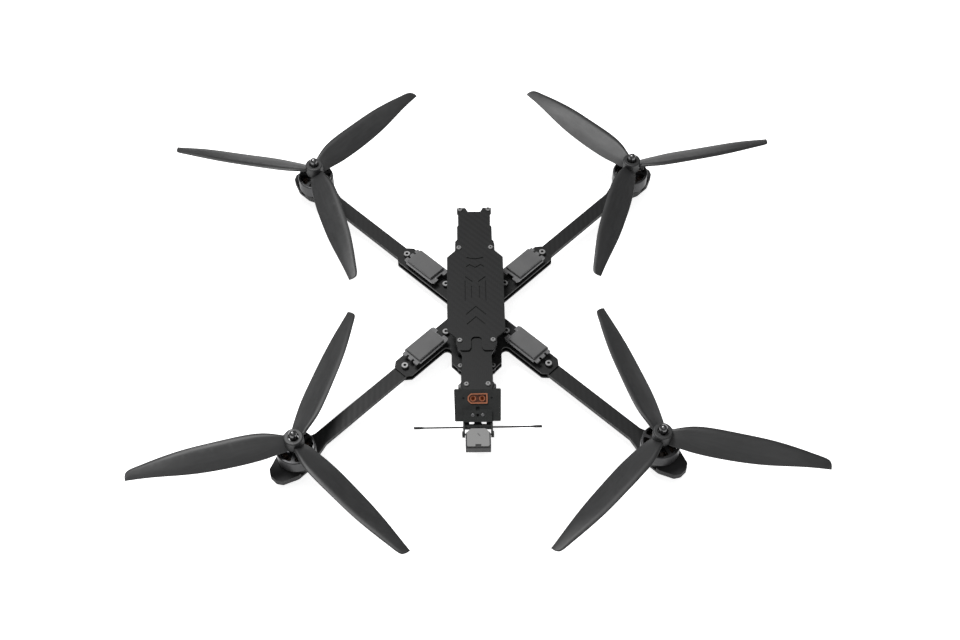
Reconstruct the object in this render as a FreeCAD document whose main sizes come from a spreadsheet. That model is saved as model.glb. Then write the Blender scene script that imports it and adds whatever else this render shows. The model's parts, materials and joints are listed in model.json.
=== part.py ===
# FPV quadcopter with 13-inch three-bladed propellers, in millimetres.
# Origin on the ground under the middle of the airframe, +Y forward, +Z up.
# Heights are measured from the ground that the four feet stand on.

import FreeCAD, Part
import Sketcher
import math
import os

Vector = FreeCAD.Vector
doc = FreeCAD.newDocument("quadcopter")

# ---------------------------------------------------------------- driving dimensions

DIMENSIONS = [
    # airframe heights and thicknesses
    ("bottom_plate_z", 16.7, "underside of the bottom plate"),
    ("plate_thickness", 2.0, "carbon sheet of every flat plate"),
    ("arm_thickness", 5.0, "carbon arm"),
    ("standoff_length", 25.0, "between the clamp plate and the top plate"),
    ("tail_plate_drop", 2.0, "tail plate hangs this far under the top plate's level"),
    # arms
    ("motor_offset", 180.1, "motor axis from each centre plane"),
    ("arm_half_width", 8.0, "half the arm's width"),
    ("arm_disc_radius", 16.5, "round motor seat at the arm's end"),
    ("arm_flare_run", 31.0, "the arm starts to widen this far before the motor axis"),
    ("inner_bolt_offset", 32.1, "inner arm bolt from each centre plane"),
    ("outer_bolt_offset", 74.8, "outer arm bolt from each centre plane"),
    ("wing_half_width", 12.4, "half the width of the plates' wings over the arms"),
    ("wing_end", 113.6, "end of a wing from the centre"),
    # fasteners
    ("m2_radius", 1.0, "M2 thread"),
    ("m3_radius", 1.5, "M3 thread"),
    ("m3_hole_radius", 1.6, "M3 clearance hole"),
    ("m3_head_radius", 2.7, "M3 button head"),
    ("m3_head_height", 1.7, "M3 button head"),
    ("m4_radius", 2.0, "M4 thread"),
    ("m4_hole_radius", 2.1, "M4 clearance hole"),
    ("m4_head_radius", 3.6, "M4 cap head"),
    ("m4_head_height", 4.0, "M4 cap head"),
    ("m4_nut_height", 4.6, "M4 lock nut"),
    ("m4_nut_radius", 4.04, "M4 nut across its corners, halved"),
    ("standoff_radius", 2.6, "round standoff"),
    ("spacer_radius", 3.0, "spacer between the two lower plates"),
    # motor
    ("motor_base_radius", 15.5, "motor's foot"),
    ("motor_bolt_radius", 9.5, "circle of the four motor screws"),
    ("bell_radius", 19.8, "outside of the rotor bell"),
    ("bell_inner_radius", 18.3, "inside of the bell's steel ring"),
    ("bell_bottom", 28.3, "lower rim of the bell"),
    ("bell_top", 43.4, "top face of the bell"),
    ("stator_radius", 15.9, "outside of the stator"),
    ("shaft_radius", 2.5, "motor shaft and its propeller thread"),
    ("bearing_radius", 5.5, "outside of a motor bearing"),
    # propeller
    ("propeller_radius", 165.1, "13-inch propeller"),
    ("propeller_height", 52.0, "level that the blades' tips lie at"),
    ("hub_radius", 9.8, "propeller hub"),
    ("hub_bottom", 46.0, "underside of the hub"),
    ("hub_top", 62.6, "rim on top of the hub"),
    ("hub_recess", 3.4, "depth of the nut's recess in the hub"),
    ("hub_recess_radius", 5.1, "nut's recess in the hub"),
    ("nut_tip", 71.2, "top of the domed propeller nut"),
    ("nut_dome_radius", 4.3, "nut's dome and the round collar under it"),
    # speed controllers
    ("esc_board_z", 32.0, "underside of a speed controller board"),
    ("esc_board_thickness", 1.6, "speed controller board"),
    ("esc_pad_height", 0.9, "thermal pad on the board"),
    ("esc_heatsink_height", 2.4, "heat spreader on the pad"),
    # rear mount, receiver aerial and satellite receiver
    ("rear_face_tilt", 36.0, "rear mount's face from the horizontal, in degrees"),
    ("gps_pivot_y", -159.5, "tilt axis of the satellite receiver"),
    ("gps_pivot_z", 28.0, "tilt axis of the satellite receiver"),
    ("aerial_half_length", 64.6, "from the middle to each end of the T aerial"),
    ("aerial_y", -151.2, "T aerial's rod"),
    # camera
    ("camera_pivot_y", 107.0, "camera's tilt axis"),
    ("camera_pivot_z", 38.2, "camera's tilt axis"),
]

sheet = doc.addObject("Spreadsheet::Sheet", "dims")
for row, (alias, value, meaning) in enumerate(DIMENSIONS, start=1):
    sheet.set(f"A{row}", alias)
    sheet.set(f"B{row}", str(value))
    sheet.set(f"C{row}", meaning)
    sheet.setAlias(f"B{row}", alias)
DERIVED = [
    ("arm_z", "=bottom_plate_z + plate_thickness", "underside of the arms"),
    ("clamp_plate_z", "=arm_z + arm_thickness", "underside of the arm clamp plate"),
    ("deck_z", "=clamp_plate_z + plate_thickness", "top of the arm clamp plate"),
    ("top_plate_z", "=deck_z + standoff_length", "underside of the top plate"),
    ("tail_plate_z", "=top_plate_z - tail_plate_drop", "underside of the tail plate"),
]
for row, (alias, formula, meaning) in enumerate(DERIVED, start=len(DIMENSIONS) + 1):
    sheet.set(f"A{row}", alias)
    sheet.set(f"B{row}", formula)
    sheet.set(f"C{row}", meaning)
    sheet.setAlias(f"B{row}", alias)
    doc.recompute()


def dim(alias):
    return float(sheet.get(alias))


# name, side (+1 is right), end (+1 is front), spin (+1 is anticlockwise from above),
# direction of the first blade in degrees
CORNERS = [
    ("front_left", -1, 1, 1, 47.5),
    ("front_right", 1, 1, -1, 12.5),
    ("rear_left", -1, -1, -1, 72.5),
    ("rear_right", 1, -1, 1, 107.5),
]
SIDES = (-1, 1)
QUARTERS = [(1, 0), (0, 1), (-1, 0), (0, -1)]
# feet are bolted up against the arms by a flange this thick
FLANGE_THICKNESS = 3.0
FLANGE_SEAT = f"dims.arm_z - {FLANGE_THICKNESS}"

# screw positions, x from the centre plane and y
TOP_PLATE_POSTS = [(15.6, 117.3), (17.2, 62.5), (17.2, -61.0)]
TAIL_PLATE_POST = (10.9, -114.2)
DECK_SCREWS = [(17.1, -74.5), (16.4, -100.6)]
STACK_POSTS = [(15.25, 15.25), (15.25, -15.25)]
PAYLOAD_HOLES = [(20.0, 44.0), (20.0, -44.0)]

parts = {}

# ---------------------------------------------------------------- building helpers


def bind(obj, expressions):
    """Ties an object's sizes to the spreadsheet; plain numbers are set as they are."""
    for prop, value in expressions.items():
        obj.setExpression(prop, str(value))
    return obj


def place(obj, x=0, y=0, z=0):
    return bind(obj, {"Placement.Base.x": x, "Placement.Base.y": y, "Placement.Base.z": z})


def add(kind, name):
    obj = doc.addObject(kind, name)
    obj.Label = name
    return obj


def box(name, length, width, height, x, y, z):
    obj = bind(add("Part::Box", name), {"Length": length, "Width": width, "Height": height})
    return place(obj, x, y, z)


def cylinder(name, radius, height, x, y, z):
    obj = bind(add("Part::Cylinder", name), {"Radius": radius, "Height": height})
    return place(obj, x, y, z)


def lying_cylinder(name, radius, height, x, y, z):
    """Cylinder along +X from the point given."""
    obj = cylinder(name, radius, height, x, y, z)
    obj.Placement.Rotation = FreeCAD.Rotation(Vector(0, 1, 0), 90)
    return obj


def cone(name, radius_1, radius_2, height, x, y, z):
    sizes = {"Radius1": radius_1, "Radius2": radius_2, "Height": height}
    return place(bind(add("Part::Cone", name), sizes), x, y, z)


def prism(name, circumradius, height, x, y, z):
    obj = bind(add("Part::Prism", name), {"Circumradius": circumradius, "Height": height})
    obj.Polygon = 6
    return place(obj, x, y, z)


def fuse(name, shapes):
    obj = add("Part::MultiFuse", name)
    obj.Shapes = shapes
    return obj


def cut(name, base, tool):
    obj = add("Part::Cut", name)
    obj.Base = base
    obj.Tool = tool
    return obj


def group(name, members):
    """Node of several separate solids."""
    obj = add("Part::Compound", name)
    obj.Links = members
    return obj


def rounded_outline(corners):
    """Closed outline through (x, y, radius) corners; a radius of 0 leaves a corner sharp."""
    starts, ends, arcs = [], [], []
    for index, (x, y, radius) in enumerate(corners):
        here = Vector(x, y, 0)
        before = Vector(*corners[index - 1][:2], 0)
        after = Vector(*corners[(index + 1) % len(corners)][:2], 0)
        back = (before - here).normalize()
        onward = (after - here).normalize()
        half_angle = back.getAngle(onward) / 2
        trim = radius / math.tan(half_angle)
        starts.append(here + back * trim)
        ends.append(here + onward * trim)
        inward = (back + onward).normalize()
        middle = here + inward * (radius / math.sin(half_angle) - radius)
        arcs.append(Part.Arc(starts[-1], middle, ends[-1]) if radius else None)
    edges = []
    for index, arc in enumerate(arcs):
        edges.append(Part.LineSegment(ends[index - 1], starts[index]))
        if arc:
            edges.append(arc)
    return edges


def mirrored_outline(half):
    """Outline that mirrors the right-hand corners, listed from front to back, to the left."""
    left = [(-x, y, radius) for x, y, radius in reversed(half) if x > 0]
    return rounded_outline(half + left)


def rectangle(x_1, y_1, x_2, y_2, radius=0):
    return rounded_outline([(x_1, y_1, radius), (x_2, y_1, radius), (x_2, y_2, radius), (x_1, y_2, radius)])


def new_body(name):
    body = doc.addObject("PartDesign::Body", name)
    body.Label = name
    return body


def sketch_in(body, name, geometry, plane="XY_Plane", height=0):
    sketch = body.newObject("Sketcher::SketchObject", name)
    support = [item for item in body.Origin.OriginFeatures if item.Role == plane][0]
    sketch.AttachmentSupport = [(support, "")]
    sketch.MapMode = "FlatFace"
    sketch.setExpression("AttachmentOffset.Base.z", str(height))
    sketch.addGeometry(geometry, False)
    return sketch


def pad(body, name, geometry, height, length):
    feature = body.newObject("PartDesign::Pad", name)
    feature.Profile = sketch_in(body, name + "_sketch", geometry, height=height)
    feature.setExpression("Length", str(length))
    return feature


def pocket(body, name, geometry, top, depth):
    """Cuts down from the height given."""
    feature = body.newObject("PartDesign::Pocket", name)
    feature.Profile = sketch_in(body, name + "_sketch", geometry, height=top)
    feature.setExpression("Length", str(depth))
    return feature


def drill(body, name, centres, radius, top, depth):
    """Round holes whose radius follows the spreadsheet."""
    circles = [Part.Circle(Vector(x, y, 0), Vector(0, 0, 1), 1) for x, y in centres]
    feature = pocket(body, name, circles, top, depth)
    sketch = feature.Profile[0]
    for index, (x, y) in enumerate(centres):
        key = sketch.addConstraint(Sketcher.Constraint("Radius", index, 1))
        sketch.renameConstraint(key, f"hole_{index}")
        sketch.setExpression(f"Constraints.hole_{index}", str(radius))
    return feature


def revolve(body, name, outline):
    """Turns a closed (radius, height) outline about the body's own Z axis."""
    sketch = sketch_in(body, name + "_sketch", outline, plane="XZ_Plane")
    feature = body.newObject("PartDesign::Revolution", name)
    feature.Profile = sketch
    feature.ReferenceAxis = (sketch, ["V_Axis"])
    feature.Angle = 360
    return feature


def polar_pattern(body, name, original, count):
    pattern = body.newObject("PartDesign::PolarPattern", name)
    pattern.Originals = [original]
    pattern.Axis = (original.Profile[0], ["N_Axis"])
    pattern.Angle = 360
    pattern.Occurrences = count
    body.Tip = pattern
    return pattern


def both_sides(points):
    return [(side * x, y) for x, y in points for side in SIDES]


def cap_screw(name, x, y, seat, length, up=True):
    """M4 socket cap screw whose head rests on the height 'seat' and whose thread goes down."""
    head = cylinder(name + "_head", "dims.m4_head_radius", "dims.m4_head_height - 0.4", x, y, seat)
    crown_z = f"{seat} + dims.m4_head_height - 0.4"
    crown = cone(name + "_crown", "dims.m4_head_radius", "dims.m4_head_radius - 0.4", 0.4, x, y, crown_z)
    thread = cylinder(name + "_thread", "dims.m4_radius", length, x, y, f"{seat} - {length}")
    solid = fuse(name + "_blank", [head, crown, thread])
    socket = prism(name + "_socket", 1.75, 3, x, y, f"{seat} + dims.m4_head_height - 2.4")
    return cut(name, solid, socket)


def button_screw(name, x, y, seat, length, direction=1):
    """M3 button head screw; direction +1 has its head on top, -1 has it underneath."""
    crown_height = 0.7
    rim = f"dims.m3_head_height - {crown_height}"
    radii = ["dims.m3_head_radius", "dims.m3_head_radius - 0.9"]
    if direction > 0:
        head = cylinder(name + "_head", radii[0], rim, x, y, seat)
        crown = cone(name + "_crown", radii[0], radii[1], crown_height, x, y, f"{seat} + {rim}")
        thread = cylinder(name + "_thread", "dims.m3_radius - 0.02", length, x, y, f"{seat} - {length}")
        socket = prism(name + "_socket", 1.15, 2, x, y, f"{seat} + dims.m3_head_height - 1.1")
    else:
        head = cylinder(name + "_head", radii[0], rim, x, y, f"{seat} - ({rim})")
        crown_base = f"{seat} - dims.m3_head_height"
        crown = cone(name + "_crown", radii[1], radii[0], crown_height, x, y, crown_base)
        thread = cylinder(name + "_thread", "dims.m3_radius - 0.02", length, x, y, seat)
        socket = prism(name + "_socket", 1.15, 2, x, y, f"{seat} - dims.m3_head_height - 0.9")
    return cut(name, fuse(name + "_blank", [head, crown, thread]), socket)


def tube(name, outer, inner, height, x, y, z):
    shell = cylinder(name + "_outside", outer, height, x, y, z)
    return cut(name, shell, cylinder(name + "_bore", inner, height, x, y, z))


# ---------------------------------------------------------------- flat plates


def wing_corners(quarter_turns):
    """End of one wing, in plate coordinates, for the wing at 45 degrees plus quarter turns."""
    half, end = dim("wing_half_width"), dim("wing_end")
    local = [(end - 6, -half, 2.5), (end, -half + 5, 2.5), (end, half - 5, 2.5), (end - 6, half, 2.5)]
    turn = math.radians(45 + 90 * quarter_turns)
    cosine, sine = math.cos(turn), math.sin(turn)
    return [(u * cosine - v * sine, u * sine + v * cosine, radius) for u, v, radius in local]


def wing_edge_y(x, side_of_wing):
    """Height y where a front right wing's edge passes the given x."""
    return x + side_of_wing * dim("wing_half_width") * math.sqrt(2)


def lower_plate_outline():
    """Four wings over the arms, a nose for the camera and a tail for the rear mount."""
    waist = 25.0
    front = [(9.0, 113.5, 1.5), (10.5, 118.0, 1), (17.6, 118.0, 1), (19.1, 116.5, 1), (19.1, 97.0, 1)]
    front += [(21.6, 94.0, 1), (21.6, 76.0, 1), (26.2, 71.0, 1), (26.2, wing_edge_y(26.2, 1), 5)]
    right = list(reversed(wing_corners(0)))
    right += [(waist, wing_edge_y(waist, -1), 4), (waist, -wing_edge_y(waist, -1), 4)]
    right += list(reversed(wing_corners(3)))
    rear = [(26.2, -wing_edge_y(26.2, 1), 5), (26.2, -69.9, 1), (16.5, -80.6, 1), (16.5, -96.0, 1)]
    rear += [(19.6, -98.0, 2), (19.6, -103.7, 2), (16.5, -105.2, 1), (16.5, -118.0, 2)]
    return mirrored_outline(front + right + rear)


def lower_plate(name, bottom, own_holes):
    body = new_body(name)
    top = f"{bottom} + dims.plate_thickness"
    pad(body, name + "_sheet", lower_plate_outline(), bottom, "dims.plate_thickness")
    bolts = [dim("inner_bolt_offset"), dim("outer_bolt_offset")]
    bolt_holes = both_sides([(offset, end * offset) for offset in bolts for end in SIDES])
    drill(body, name + "_bolt_holes", bolt_holes, "dims.m4_hole_radius", top, "dims.plate_thickness")
    screws = both_sides(TOP_PLATE_POSTS + [TAIL_PLATE_POST] + DECK_SCREWS + PAYLOAD_HOLES + own_holes)
    drill(body, name + "_screw_holes", screws, "dims.m3_hole_radius", top, "dims.plate_thickness")
    slots = []
    for side in SIDES:
        slots += rectangle(side * 9 - 1.5, 70, side * 9 + 1.5, 90, 1.4)
        slots += rectangle(side * 9 - 1.5, -92, side * 9 + 1.5, -76, 1.4)
    pocket(body, name + "_slots", slots, top, "dims.plate_thickness")
    parts[name] = body


lower_plate("bottom_plate", "dims.bottom_plate_z", [])
lower_plate("arm_clamp_plate", "dims.clamp_plate_z", STACK_POSTS)


def band(points, width):
    """Groove of constant height 'width' that follows a run of (x, y) points from left to right."""
    upper = [(x, y + width / 2, 0) for x, y in points]
    lower = [(x, y - width / 2, 0) for x, y in reversed(points)]
    return rounded_outline(upper + lower)


def make_top_plate():
    body = new_body("top_plate")
    top = "dims.top_plate_z + dims.plate_thickness"
    outline = [(7.0, 114.5, 1), (9.6, 120.0, 1), (19.0, 120.0, 1), (19.0, 112.5, 1), (17.0, 109.0, 2)]
    outline += [(17.0, 94.0, 1), (19.1, 92.0, 1), (19.1, 72.0, 2), (21.4, 68.5, 1.5), (21.4, 58.7, 2)]
    outline += [(30.2, 49.5, 2), (30.2, -48.7, 2), (21.2, -57.0, 3), (21.1, -66.0, 4), (16.5, -73.6, 4)]
    outline += [(7.5, -73.6, 3), (5.5, -69.5, 3), (5.5, -58.5, 3.5)]
    outline += [(2.6, -56.5, 2.4)]
    pad(body, "top_plate_sheet", mirrored_outline(outline), "dims.top_plate_z", "dims.plate_thickness")
    posts = both_sides(TOP_PLATE_POSTS)
    drill(body, "top_plate_holes", posts, "dims.m3_hole_radius", top, "dims.plate_thickness")
    groove_width = 1.6
    grooves = []
    for apex, reach in ((-17.5, 10.5), (-31.0, 9.5)):
        grooves += band([(-reach, apex - reach), (0, apex), (reach, apex - reach)], groove_width)
    for side in SIDES:
        grooves += rectangle(side * 10.9 - 0.5, -10, side * 10.9 + 0.5, 17, 0.3)
        grooves += rectangle(side * 4.2 - 0.5, -6, side * 4.2 + 0.5, 10, 0.3)
    grooves += band([(-10.9, 22.5), (-3.0, 15.5)], groove_width)
    grooves += band([(3.0, 15.5), (10.9, 22.5)], groove_width)
    grooves += band([(-9.5, 36), (-6, 39), (0, 35), (6, 39), (9.5, 36)], groove_width)
    grooves += band([(-9, 49), (-5, 47.6), (0, 47), (5, 47.6), (9, 49)], groove_width)
    pocket(body, "top_plate_grooves", grooves, top, 0.7)
    parts["top_plate"] = body


make_top_plate()


def make_tail_plate():
    body = new_body("tail_plate")
    top = "dims.tail_plate_z + dims.plate_thickness"
    outline = [(21.2, -54.0, 2), (21.2, -65.0, 2), (15.1, -78.0, 4), (16.0, -102.0, 4), (16.0, -114.5, 1)]
    outline += [(14.6, -120.5, 1.5)]
    pad(body, "tail_plate_sheet", mirrored_outline(outline), "dims.tail_plate_z", "dims.plate_thickness")
    holes = both_sides([TOP_PLATE_POSTS[2], TAIL_PLATE_POST])
    drill(body, "tail_plate_holes", holes, "dims.m3_hole_radius", top, "dims.plate_thickness")
    parts["tail_plate"] = body


make_tail_plate()

# ---------------------------------------------------------------- arms


def arm_outline():
    """Arm along +X: a mitred root at the centre, straight sides and a round motor seat."""
    reach = dim("motor_offset") * math.sqrt(2)
    half, disc, run = dim("arm_half_width"), dim("arm_disc_radius"), dim("arm_flare_run")
    root = 0.6
    touch_angle = math.atan2(half, -run) - math.acos(disc / math.hypot(run, half))
    touch_x, touch_y = reach + disc * math.cos(touch_angle), disc * math.sin(touch_angle)
    edges = []
    for side in SIDES:
        corners = [(root, 0), (root + half, half), (reach - run, half), (touch_x, touch_y)]
        points = [Vector(x, side * y, 0) for x, y in corners]
        edges += [Part.LineSegment(first, second) for first, second in zip(points, points[1:])]
    upper, lower = Vector(touch_x, touch_y, 0), Vector(touch_x, -touch_y, 0)
    edges.append(Part.Arc(upper, Vector(reach + disc, 0, 0), lower))
    return edges


for corner, side, end, spin, blade_angle in CORNERS:
    body = new_body("arm_" + corner)
    pad(body, body.Label + "_sheet", arm_outline(), "dims.arm_z", "dims.arm_thickness")
    diagonal = math.sqrt(2)
    bolts = [(dim("inner_bolt_offset") * diagonal, 0), (dim("outer_bolt_offset") * diagonal, 0)]
    top, depth = "dims.clamp_plate_z", "dims.arm_thickness"
    drill(body, body.Label + "_bolts", bolts, "dims.m4_hole_radius", top, depth)
    reach = dim("motor_offset") * diagonal
    step = dim("motor_bolt_radius") / diagonal
    seats = [(reach + a * step, b * step) for a in SIDES for b in SIDES]
    drill(body, body.Label + "_seat", seats, "dims.m3_hole_radius", top, depth)
    drill(body, body.Label + "_centre", [(reach, 0)], "dims.shaft_radius + 1.5", top, depth)
    heading = math.degrees(math.atan2(end, side))
    body.Placement = FreeCAD.Placement(Vector(), FreeCAD.Rotation(Vector(0, 0, 1), heading))
    parts[body.Label] = body

# ---------------------------------------------------------------- standoffs, spacers and screws

standoffs, spacers, top_screws, bottom_screws = [], [], [], []
for number, (x, y) in enumerate(both_sides(TOP_PLATE_POSTS + [TAIL_PLATE_POST])):
    on_tail = (abs(x), y) == TAIL_PLATE_POST
    shared = y < 0 and not on_tail
    drop = "dims.tail_plate_drop" if on_tail or shared else "0"
    length = f"dims.standoff_length - {drop}"
    post = tube(f"standoff_{number}", "dims.standoff_radius", "dims.m3_radius", length, x, y, "dims.deck_z")
    standoffs.append(post)
    lid = "dims.top_plate_z + dims.plate_thickness"
    seat = f"{lid} - dims.tail_plate_drop" if on_tail else lid
    top_screws.append(button_screw(f"top_screw_{number}", x, y, seat, 8))
    bottom_screws.append(button_screw(f"bottom_screw_{number}", x, y, "dims.bottom_plate_z", 14, -1))
for number, (x, y) in enumerate(both_sides(TOP_PLATE_POSTS + [TAIL_PLATE_POST] + DECK_SCREWS)):
    ring = tube(f"spacer_{number}", "dims.spacer_radius", "dims.m3_hole_radius", "dims.arm_thickness",
                x, y, "dims.arm_z")
    spacers.append(ring)
deck_screws, deck_nuts = [], []
for number, (x, y) in enumerate(both_sides(DECK_SCREWS)):
    deck_screws.append(button_screw(f"deck_screw_{number}", x, y, "dims.deck_z", 12))
    nut = prism(f"deck_nut_{number}_hexagon", 3.17, 2.4, x, y, "dims.bottom_plate_z - 2.4")
    bore = cylinder(f"deck_nut_{number}_bore", "dims.m3_radius", 2.4, x, y, "dims.bottom_plate_z - 2.4")
    deck_nuts.append(cut(f"deck_nut_{number}", nut, bore))

arm_bolts, arm_nuts = [], []
for corner, side, end, spin, blade_angle in CORNERS:
    for ring in ("inner", "outer"):
        x = f"{side} * dims.{ring}_bolt_offset"
        y = f"{end} * dims.{ring}_bolt_offset"
        name = f"{ring}_{corner}"
        arm_bolts.append(cap_screw("bolt_" + name, x, y, "dims.deck_z", 14))
        under = "dims.bottom_plate_z - dims.m4_nut_height"
        nut_height = "dims.m4_nut_height - 1"
        nut = prism(f"nut_{name}_hexagon", "dims.m4_nut_radius", nut_height, x, y, f"{under} + 1")
        collar = cylinder(f"nut_{name}_collar", 3.2, 1, x, y, under)
        bore = cylinder(f"nut_{name}_bore", "dims.m4_radius", "dims.m4_nut_height", x, y, under)
        arm_nuts.append(cut("nut_" + name, fuse(f"nut_{name}_blank", [nut, collar]), bore))

parts["standoffs"] = group("standoffs", standoffs)
parts["plate_spacers"] = group("plate_spacers", spacers)
parts["top_screws"] = group("top_screws", top_screws)
parts["plate_screws"] = group("plate_screws", bottom_screws + deck_screws + deck_nuts)
parts["arm_bolts"] = group("arm_bolts", arm_bolts)
parts["arm_nuts"] = group("arm_nuts", arm_nuts)

# ---------------------------------------------------------------- speed controllers


def in_arm_frame(obj, heading):
    """Turns an object drawn along +X about the airframe's middle, onto an arm."""
    turn = FreeCAD.Placement(Vector(), FreeCAD.Rotation(Vector(0, 0, 1), heading))
    obj.Placement = turn.multiply(obj.Placement)
    return obj


def esc_board_outline():
    """Board along an arm: two power tabs towards the middle, three phase tabs outwards."""
    half = 12.0
    outline = [(52.4, -10.4, 0.5), (52.4, -4.2, 0.5), (55.6, -4.2, 0.5), (55.6, 4.2, 0.5)]
    outline += [(52.4, 4.2, 0.5), (52.4, 10.4, 0.5), (54.8, half, 1), (94.9, half, 1), (94.9, 10.3, 0.4)]
    for middle in (7.7, 0, -7.7):
        outline += [(99.2, middle + 2.6, 1), (99.2, middle - 2.6, 1)]
        if middle > -7:
            outline += [(96.0, middle - 2.6, 0.4), (96.0, middle - 5.1, 0.4)]
    outline += [(94.9, -10.3, 0.4), (94.9, -half, 1), (54.8, -half, 1)]
    return rounded_outline(list(reversed(outline)))


esc_boards, esc_heatsinks = [], []
for corner, side, end, spin, blade_angle in CORNERS:
    heading = math.degrees(math.atan2(end, side))
    board = new_body("esc_board_" + corner)
    pad(board, board.Label + "_sheet", esc_board_outline(), "dims.esc_board_z", "dims.esc_board_thickness")
    under = rectangle(60.0, -9.0, 93.0, 9.0, 1)
    pad(board, board.Label + "_parts", under, "dims.deck_z", "dims.esc_board_z - dims.deck_z")
    esc_boards.append(in_arm_frame(board, heading))
    sink = new_body("esc_heatsink_" + corner)
    board_top = "dims.esc_board_z + dims.esc_board_thickness"
    pad(sink, sink.Label + "_pad", rectangle(59.4, -9.1, 92.8, 9.1, 0.6), board_top, "dims.esc_pad_height")
    block = pad(sink, sink.Label + "_block", rectangle(58.2, -10.3, 94.0, 10.3, 0.6),
                board_top + " + dims.esc_pad_height", "dims.esc_heatsink_height")
    doc.recompute()
    rim = [f"Edge{index}" for index, edge in enumerate(block.Shape.Edges, start=1)
           if min(vertex.Z for vertex in edge.Vertexes) > block.Shape.BoundBox.ZMax - 0.01]
    chamfer = sink.newObject("PartDesign::Chamfer", sink.Label + "_edge")
    chamfer.Base = (block, rim)
    chamfer.Size = 0.4
    sink.Tip = chamfer
    esc_heatsinks.append(in_arm_frame(sink, heading))
parts["esc_boards"] = group("esc_boards", esc_boards)
parts["esc_heatsinks"] = group("esc_heatsinks", esc_heatsinks)

# ---------------------------------------------------------------- motors

TEETH = 12
MAGNETS = 14


def stator_outline():
    """Twelve T-shaped teeth on a ring, seen from above."""
    ring, neck, tip = 9.0, 1.1, dim("stator_radius")
    face = tip - 1.1
    pitch = 2 * math.pi / TEETH
    outline = []
    for tooth in range(TEETH):
        aim = tooth * pitch
        tip_half = pitch / 2 - 0.07
        root_half, neck_half = math.asin(neck / ring), math.asin(neck / face)
        polar = [(ring, -root_half), (face, -neck_half), (face, -tip_half), (tip, -tip_half)]
        polar += [(tip, 0), (tip, tip_half), (face, tip_half), (face, neck_half), (ring, root_half)]
        outline += [(r * math.cos(aim + angle), r * math.sin(aim + angle), 0) for r, angle in polar]
    return rounded_outline(outline)


def turned_copies(prototype, count):
    """Copies of a shape about the Z axis through the origin."""
    step = 360 / count
    return [prototype.rotated(Vector(), Vector(0, 0, 1), step * index) for index in range(count)]


def one_coil(low, high):
    """Winding round one tooth that points along +X."""
    coil = Part.makeBox(4.6, 4.4, high - low, Vector(9.7, -2.2, low))
    corners = [edge for edge in coil.Edges if abs(edge.tangentAt(edge.FirstParameter).x) > 0.9]
    coil = coil.makeFillet(1.0, corners)
    return coil.cut(Part.makeBox(6, 2.4, high - low - 1.6, Vector(9, -1.2, low + 0.8)))


def one_magnet(low, high):
    inner, outer = dim("bell_inner_radius") - 1.9, dim("bell_inner_radius")
    wall = Part.makeCylinder(outer, high - low, Vector(0, 0, low), Vector(0, 0, 1), 19)
    wall = wall.cut(Part.makeCylinder(inner, high - low, Vector(0, 0, low)))
    return wall


def moved_feature(name, solids, x, y):
    """Plain shapes in a node of their own, moved to a motor's axis."""
    feature = add("Part::Feature", name)
    feature.Shape = Part.makeCompound(solids)
    return place(feature, x, y, 0)


STATOR_LOW, STATOR_HIGH = 29.6, 37.0
motor_bases, stator_cores, windings, bearings, motor_screws = [], [], [], [], []
for corner, side, end, spin, blade_angle in CORNERS:
    x, y = f"{side} * dims.motor_offset", f"{end} * dims.motor_offset"

    base = new_body("motor_base_" + corner)
    seat, foot = dim("clamp_plate_z"), dim("motor_base_radius")
    bore = dim("bearing_radius")
    profile = [(3.2, seat, 0), (foot, seat, 0), (foot, seat + 2.2, 0.8), (9.6, seat + 3.6, 1)]
    profile += [(7.0, seat + 3.6, 0.5), (7.0, STATOR_HIGH + 0.6, 0.3), (bore, STATOR_HIGH + 0.6, 0)]
    profile += [(bore, STATOR_HIGH - 4, 0), (3.2, STATOR_HIGH - 4, 0)]
    revolve(base, base.Label + "_turning", rounded_outline(profile))
    pocket(base, base.Label + "_well", [Part.Circle(Vector(), Vector(0, 0, 1), bore)],
           "dims.clamp_plate_z + 4.2", 4.2)
    threads = [(a * dim("motor_bolt_radius"), b * dim("motor_bolt_radius")) for a, b in QUARTERS]
    drill(base, base.Label + "_threads", threads, "dims.m3_radius", "dims.clamp_plate_z + 3.4", 3.4)
    doc.recompute()
    base.Placement.Rotation = FreeCAD.Rotation(Vector(0, 0, 1), math.degrees(math.atan2(end, side)) + 45)
    motor_bases.append(place(base, x, y))

    core = new_body("stator_core_" + corner)
    pad(core, core.Label + "_teeth", stator_outline(), STATOR_LOW, STATOR_HIGH - STATOR_LOW)
    pocket(core, core.Label + "_bore", [Part.Circle(Vector(), Vector(0, 0, 1), 7.0)], STATOR_HIGH,
           STATOR_HIGH - STATOR_LOW)
    stator_cores.append(place(core, x, y))
    coils = turned_copies(one_coil(STATOR_LOW - 0.9, STATOR_HIGH + 0.9), TEETH)
    windings.append(moved_feature("stator_winding_" + corner, coils, x, y))

    for level, low in (("lower", "dims.clamp_plate_z + 0.2"), ("upper", STATOR_HIGH - 3.8)):
        name = f"bearing_{level}_{corner}"
        bearings.append(tube(name, "dims.bearing_radius", "dims.shaft_radius + 0.03", 4, x, y, low))
    for number, (a, b) in enumerate(QUARTERS):
        screw_x = f"{x} + {a} * dims.motor_bolt_radius"
        screw_y = f"{y} + {b} * dims.motor_bolt_radius"
        screw = button_screw(f"motor_screw_{corner}_{number}", screw_x, screw_y, FLANGE_SEAT, 10.5, -1)
        motor_screws.append(screw)

parts["motor_bases"] = group("motor_bases", motor_bases)
parts["stator_cores"] = group("stator_cores", stator_cores)
parts["stator_windings"] = group("stator_windings", windings)
parts["motor_bearings"] = group("motor_bearings", bearings)
parts["motor_screws"] = group("motor_screws", motor_screws)

# ---------------------------------------------------------------- rotors


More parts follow.
